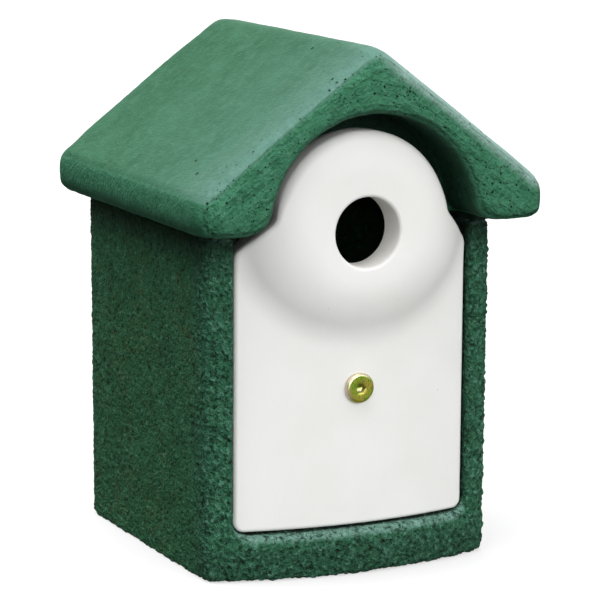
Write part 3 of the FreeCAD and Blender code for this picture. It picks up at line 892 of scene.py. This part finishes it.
def body_woodcrete():
    """Rough painted woodcrete: crumbs with painted highlights, dusty ledges, painted shade in its pores,
    crevices and the recess behind the panel, and a painted shadow under the eaves and on the lip's face.
    """
    s = Surface("body_woodcrete")
    place = s.stretched((1.0, 0.7, 1.0))
    crumb = s.noise(2.6, 3, 0.55, 0.3, place)
    fine = s.noise(1.2, 2, 0.5, 0.0, place)
    grain = s.plus(crumb, s.times(fine, 0.5))
    coarse, height = s.stored("coarse"), s.stored("height")
    broad = s.noise(18, 3, 0.55)
    colour = s.mix(s.span(broad, 0.3, 0.7), tint(35, 82, 53), tint(43, 94, 63))
    earth = s.span(s.noise(26, 4, 0.6), 0.42, 0.62, 0.15, 0.9)
    chips = s.times(s.span(s.noise(3.6, 3, 0.55, 0.4), 0.46, 0.62), earth)
    colour = s.mix(chips, colour, tint(60, 88, 56))
    colour = s.mix(s.times(coarse, 0.75), colour, tint(42, 92, 68))
    # Painted highlight on the tops of the crumbs
    colour = s.mix(s.span(grain, 0.80, 1.0, 0.0, 0.7), colour, tint(74, 124, 97))
    # Painted highlight on the raised grains of the front rims
    crest = s.times(s.span(height, 0.15, 0.7), s.times(coarse, 0.5))
    colour = s.mix(crest, colour, tint(84, 136, 114))
    dust = s.times(s.stored("ledge"), s.span(crumb, 0.35, 0.6, 0.4, 1.0))
    colour = s.mix(dust, colour, tint(112, 150, 138))
    # Painted shade in the pores between crumbs, in the pinholes and pits, in the low crevices and in the
    # recess behind the panel
    pore = s.span(grain, 0.68, 0.56, 0.0, 0.75)
    hole = s.times(s.pinholes(2.9, 0.6, 0.40), s.span(coarse, 0.0, 1.0, 0.7, 0.3))
    pit = s.times(s.pinholes(4.6, 0.4, 0.21), coarse)
    hole = s.most(hole, pit)
    deep = s.span(height, -0.4, -1.0, 0.0, 0.8)
    painted_shade = s.most(s.most(pore, hole), s.most(deep, s.stored("recess_shade")))
    colour = s.mix(s.times(painted_shade, 0.93), colour, tint(9, 22, 16))
    sand = s.noise(2.2, 2, 0.55, 0.5)
    # Painted highlight and painted shade on the grains of the front, standing in for their relief
    colour = s.mix(s.times(s.span(sand, 0.55, 0.68, 0.0, 0.6), coarse), colour, tint(92, 142, 122))
    colour = s.mix(s.times(s.span(sand, 0.44, 0.34, 0.0, 0.7), coarse), colour, tint(12, 32, 22))
    sand = s.times(sand, s.span(coarse, 0.0, 1.0, 0.4, 1.6))
    colour = s.mix(s.stored("painted_shadow"), colour, tint(12, 30, 20))
    relief = s.calc("SUBTRACT", s.plus(grain, sand), s.times(hole, 0.5))
    s.set(Base_Color=colour, Roughness=0.9, Specular_IOR_Level=0.2, Normal=s.bump(relief, 1.8))
    return s.material


def roof_woodcrete():
    """Smoother painted woodcrete: trowel strokes, a painted sheen on the top that fades towards the back, a
    front arris paler with wear and a painted highlight, painted shade inside the arch, at the eave's foot and
    in its pinholes.
    """
    s = Surface("roof_woodcrete")
    broad = s.noise(24, 4, 0.55)
    mottle = s.noise(5, 4, 0.65)
    speck = s.noise(1.3, 3, 0.65)
    stroke = s.noise(2.6, 3, 0.6, 0.1, s.along_slopes(0.07))
    slope, painted_sheen = s.stored("slope"), s.stored("painted_sheen")
    cast = s.mix(s.span(mottle, 0.3, 0.7), tint(48, 102, 74), tint(61, 118, 90))
    fascia = s.stored("fascia")
    dim = s.times(s.span(stroke, 0.48, 0.36, 0.0, 0.45), fascia)
    cast = s.mix(dim, cast, tint(32, 76, 53))
    lit = s.times(s.span(stroke, 0.54, 0.66, 0.0, 0.2), fascia)
    cast = s.mix(lit, cast, tint(84, 136, 110))
    top = s.mix(s.span(broad, 0.3, 0.7), tint(34, 86, 57), tint(48, 98, 71))
    top = s.mix(s.span(mottle, 0.42, 0.72, 0.0, 0.6), top, tint(59, 108, 83))
    colour = s.mix(slope, cast, top)
    # Painted sheen on the top, fading towards the back
    sheen = s.times(painted_sheen, s.span(mottle, 0.25, 0.7, 0.75, 1.1))
    colour = s.mix(sheen, colour, tint(94, 130, 120))
    # Paler front arris: partly wear, partly a painted highlight
    painted_highlight = s.times(s.stored("arris"), s.span(mottle, 0.25, 0.7, 0.7, 0.95))
    colour = s.mix(painted_highlight, colour, tint(132, 160, 152))
    colour = s.mix(s.span(speck, 0.58, 0.75, 0.0, 0.35), colour, tint(104, 146, 126))
    rough = s.times(s.span(slope, 0.0, 1.0, 1.0, 0.2), s.span(s.stored("eave"), 0.0, 1.0, 1.0, 0.35))
    # Painted shade in the pores
    pore = s.times(s.span(speck, 0.42, 0.30, 0.0, 0.6), rough)
    colour = s.mix(pore, colour, tint(22, 54, 38))
    crumb = s.noise(2.6, 2, 0.55, 0.4)
    colour = s.mix(s.times(s.span(crumb, 0.54, 0.68, 0.0, 0.25), rough), colour, tint(92, 142, 118))
    # Painted shade at the foot of the eave's face
    colour = s.mix(s.times(s.stored("eave_foot_shade"), 0.6), colour, tint(24, 56, 38))
    patch = s.span(s.noise(15, 2, 0.5), 0.38, 0.65, 0.35, 2.0)
    share = s.times(s.stored("porous"), patch)
    hole = s.most(s.pinholes(3.0, share, 0.24), s.pinholes(1.7, share, 0.26))
    hole = s.most(hole, s.pinholes(4.4, s.times(share, 0.7), 0.25))
    # The pinholes are real; their near-black is painted shade
    colour = s.mix(s.times(hole, 0.95), colour, tint(8, 22, 15))
    grain = s.plus(crumb, s.times(s.times(stroke, 1.2), fascia))
    grain = s.plus(s.times(grain, rough), s.times(speck, 0.2))
    relief = s.calc("SUBTRACT", grain, s.times(hole, 1.2))
    # Painted shade inside the arch
    colour = s.mix(s.times(s.stored("inside"), 0.92), colour, tint(7, 17, 12))
    s.set(Base_Color=colour, Roughness=s.span(speck, 0.3, 0.7, 0.62, 0.76), Specular_IOR_Level=0.08,
          Normal=s.bump(relief, 1.8))
    return s.material


def mortar():
    """Sandy mortar, stained green."""
    s = Surface("mortar")
    sand = s.noise(1.1, 3, 0.65)
    broad = s.noise(9, 3, 0.5)
    colour = s.mix(s.span(sand, 0.3, 0.7), tint(18, 36, 26), tint(38, 66, 49))
    colour = s.mix(s.span(broad, 0.5, 0.7, 0.0, 0.5), colour, tint(46, 62, 48))
    s.set(Base_Color=colour, Roughness=0.92, Specular_IOR_Level=0.15, Normal=s.bump(sand, 0.5))
    return s.material


def white_panel():
    """Satin white paint with a few specks, painted shade on its side faces below the dome, and painted light
    that makes the bore paler.
    """
    s = Surface("white_cast_panel")
    cloud = s.noise(34, 3, 0.5)
    grain = s.noise(1.4, 3, 0.55)
    colour = s.mix(s.span(cloud, 0.3, 0.7), tint(225, 225, 222), tint(229, 229, 227))
    distance, random = s.cells(11)
    speck = s.times(s.span(distance, 0.02, 0.045, 1.0, 0.0), s.calc("LESS_THAN", random, 0.4))
    colour = s.mix(s.times(speck, 0.5), colour, tint(168, 166, 158))
    # Painted shade on the side faces
    colour = s.mix(s.times(s.stored("edge_shade"), 0.85), colour, tint(70, 70, 70))
    # Painted light: a paler bore
    colour = s.mix(s.stored("bore"), colour, tint(252, 251, 246))
    relief = s.plus(s.times(cloud, 2.0), s.times(grain, 0.35))
    s.set(Base_Color=colour, Roughness=s.span(grain, 0.3, 0.7, 0.42, 0.52), Specular_IOR_Level=0.4,
          Normal=s.bump(relief, 0.12))
    return s.material


def yellow_zinc():
    """Yellow and green zinc plating, with a painted highlight on the upper left of its bevel and in the lower
    half of its socket, and painted shade in the socket's upper half.
    """
    s = Surface("yellow_zinc")
    tone = s.noise(5.0, 3, 0.6)
    scuff = s.noise(0.5, 2, 0.6, 0.0, s.stretched((1.0, 1.0, 0.3)))
    colour = s.mix(s.span(tone, 0.38, 0.62), tint(172, 164, 68), tint(134, 166, 48))
    colour = s.mix(s.span(scuff, 0.6, 0.75, 0.0, 0.4), colour, tint(120, 110, 50))
    # Painted highlight on the bevel's upper left and in the socket's lower half
    colour = s.mix(s.times(s.stored("painted_highlight"), 0.85), colour, tint(235, 218, 190))
    # Painted shade in the socket's upper half
    colour = s.mix(s.times(s.stored("socket"), 0.6), colour, tint(96, 78, 40))
    s.set(Base_Color=colour, Metallic=0.75, Roughness=s.span(scuff, 0.3, 0.7, 0.24, 0.38),
          Normal=s.bump(scuff, 0.03))
    return s.material


def galvanised_steel():
    """Spangled zinc with dull stains."""
    s = Surface("galvanised_steel")
    _, random = s.cells(2.6)
    grain = s.noise(0.7, 2, 0.6)
    colour = s.mix(s.span(random, 0.1, 0.9), tint(178, 181, 185), tint(198, 201, 204))
    stain = s.span(s.noise(8, 3, 0.6), 0.55, 0.75, 0.0, 0.4)
    colour = s.mix(stain, colour, tint(150, 151, 148))
    colour = s.mix(s.times(s.stored("turned"), 0.8), colour, tint(214, 212, 200))
    s.set(Base_Color=colour, Metallic=0.9, Roughness=s.span(random, 0.0, 1.0, 0.34, 0.5),
          Normal=s.bump(grain, 0.04))
    return s.material


def spring_steel():
    """Brushed steel."""
    s = Surface("spring_steel")
    brush = s.noise(0.6, 2, 0.6, 0.0, s.stretched((0.2, 1.0, 1.0)))
    colour = s.mix(s.span(brush, 0.3, 0.7), tint(120, 122, 128), tint(160, 161, 166))
    s.set(Base_Color=colour, Metallic=1.0, Roughness=s.span(brush, 0.3, 0.7, 0.28, 0.4),
          Normal=s.bump(brush, 0.03))
    return s.material


def nylon():
    """Matte grey plastic."""
    s = Surface("nylon")
    cloud = s.noise(5, 3, 0.5)
    grain = s.noise(0.6, 2, 0.5)
    colour = s.mix(s.span(cloud, 0.3, 0.7), tint(150, 152, 150), tint(164, 165, 163))
    s.set(Base_Color=colour, Roughness=s.span(grain, 0.3, 0.7, 0.48, 0.6), Normal=s.bump(grain, 0.03))
    return s.material


# Studio: a pale floor that keeps the shadow, a faint sky, and six soft lamps round the object

def seen(tree):
    """1 for what the camera sees, and 0 for light that falls on the object."""
    return tree.nodes.new("ShaderNodeLightPath").outputs["Is Camera Ray"]


def make_floor():
    """Floor that the camera sees as white with a faint shadow, and that throws little light back."""
    corners = ((-1, -1), (1, -1), (1, 1), (-1, 1))
    mesh = bpy.data.meshes.new("floor")
    mesh.from_pydata([(x * FLOOR_HALF, y * FLOOR_HALF, 0) for x, y in corners], [], [(0, 1, 2, 3)])
    floor = add_object("floor", mesh)
    material = bpy.data.materials.new("floor")
    material.use_nodes = True
    tree = material.node_tree
    tree.nodes.remove(tree.nodes["Principled BSDF"])
    bounce = tree.nodes.new("ShaderNodeBsdfDiffuse")
    bounce.inputs["Color"].default_value = (FLOOR_BOUNCE, FLOOR_BOUNCE, FLOOR_BOUNCE, 1)
    shadowed = tree.nodes.new("ShaderNodeBsdfDiffuse")
    shadowed.inputs["Color"].default_value = (FLOOR_SHADE, FLOOR_SHADE, FLOOR_SHADE, 1)
    glow = tree.nodes.new("ShaderNodeEmission")
    glow.inputs["Strength"].default_value = FLOOR_GLOW
    pale = tree.nodes.new("ShaderNodeAddShader")
    tree.links.new(shadowed.outputs[0], pale.inputs[0])
    tree.links.new(glow.outputs[0], pale.inputs[1])
    choose = tree.nodes.new("ShaderNodeMixShader")
    tree.links.new(seen(tree), choose.inputs[0])
    tree.links.new(bounce.outputs[0], choose.inputs[1])
    tree.links.new(pale.outputs[0], choose.inputs[2])
    tree.links.new(choose.outputs[0], tree.nodes["Material Output"].inputs["Surface"])
    mesh.materials.append(material)


def make_world():
    """A faint even sky, which the camera sees as pure white."""
    world = bpy.data.worlds.new("studio")
    world.use_nodes = True
    tree = world.node_tree
    background = tree.nodes["Background"]
    background.inputs["Color"].default_value = (1, 1, 1, 1)
    strength = tree.nodes.new("ShaderNodeMix")
    strength.inputs[2].default_value = SKY
    strength.inputs[3].default_value = 1.0
    tree.links.new(seen(tree), strength.inputs[0])
    tree.links.new(strength.outputs[0], background.inputs["Strength"])
    scene.world = world


def make_lamp(name, towards, irradiance):
    """Soft, even light from one side; irradiance 1 makes a white wall that faces it white."""
    lamp = bpy.data.lights.new(name, "SUN")
    lamp.energy = irradiance * math.pi
    lamp.angle = LAMP_SPREAD
    holder = add_object(name, lamp)
    holder.rotation_mode = "QUATERNION"
    holder.rotation_quaternion = Vector(towards).to_track_quat("Z", "Y")


def make_camera():
    """The photo's camera."""
    data = bpy.data.cameras.new("camera")
    data.lens = LENS
    data.sensor_width = SENSOR
    data.clip_start, data.clip_end = 0.05, 50
    camera = add_object("camera", data)
    camera.location = EYE
    camera.rotation_mode = "QUATERNION"
    camera.rotation_quaternion = (TARGET - EYE).to_track_quat("-Z", "Y") @ Quaternion((0, 0, 1), ROLL)
    scene.camera = camera


# The piece that stands for each node, its body and its material slot
PIECES = (("body_casting", make_body, "box", "body_woodcrete"),
          ("roof_casting", make_roof, "box", "roof_woodcrete"),
          ("front_panel", make_panel, "panel", "white_cast_panel"),
          ("panel_bolt", make_bolt, "bolt", "yellow_zinc"),
          ("hanger_screws", make_screws, "box", "galvanised_steel"))
KEPT_NODES = {"roof_mortar": "mortar", "bolt_retainer": "spring_steel", "crossbar": "galvanised_steel",
              "crossbar_nut": "galvanised_steel", "hanger_plate": "galvanised_steel",
              "hanger_plugs": "nylon"}
MATERIALS = {"body_woodcrete": body_woodcrete(), "roof_woodcrete": roof_woodcrete(), "mortar": mortar(),
             "white_cast_panel": white_panel(), "yellow_zinc": yellow_zinc(), "spring_steel": spring_steel(),
             "galvanised_steel": galvanised_steel(), "nylon": nylon()}


def dress(piece, slot):
    """Gives a piece its one material, and names its slot."""
    piece.data.materials.clear()
    piece.data.materials.append(MATERIALS[slot])


for node, make, body, slot in PIECES:
    piece = make()
    dress(piece, slot)
    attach(piece, body)
    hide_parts(node)
for node, slot in KEPT_NODES.items():
    dress(frame["nodes"][node], slot)

make_floor()
make_world()
for name, (towards, irradiance) in LAMPS.items():
    make_lamp(name, towards, irradiance)
make_camera()
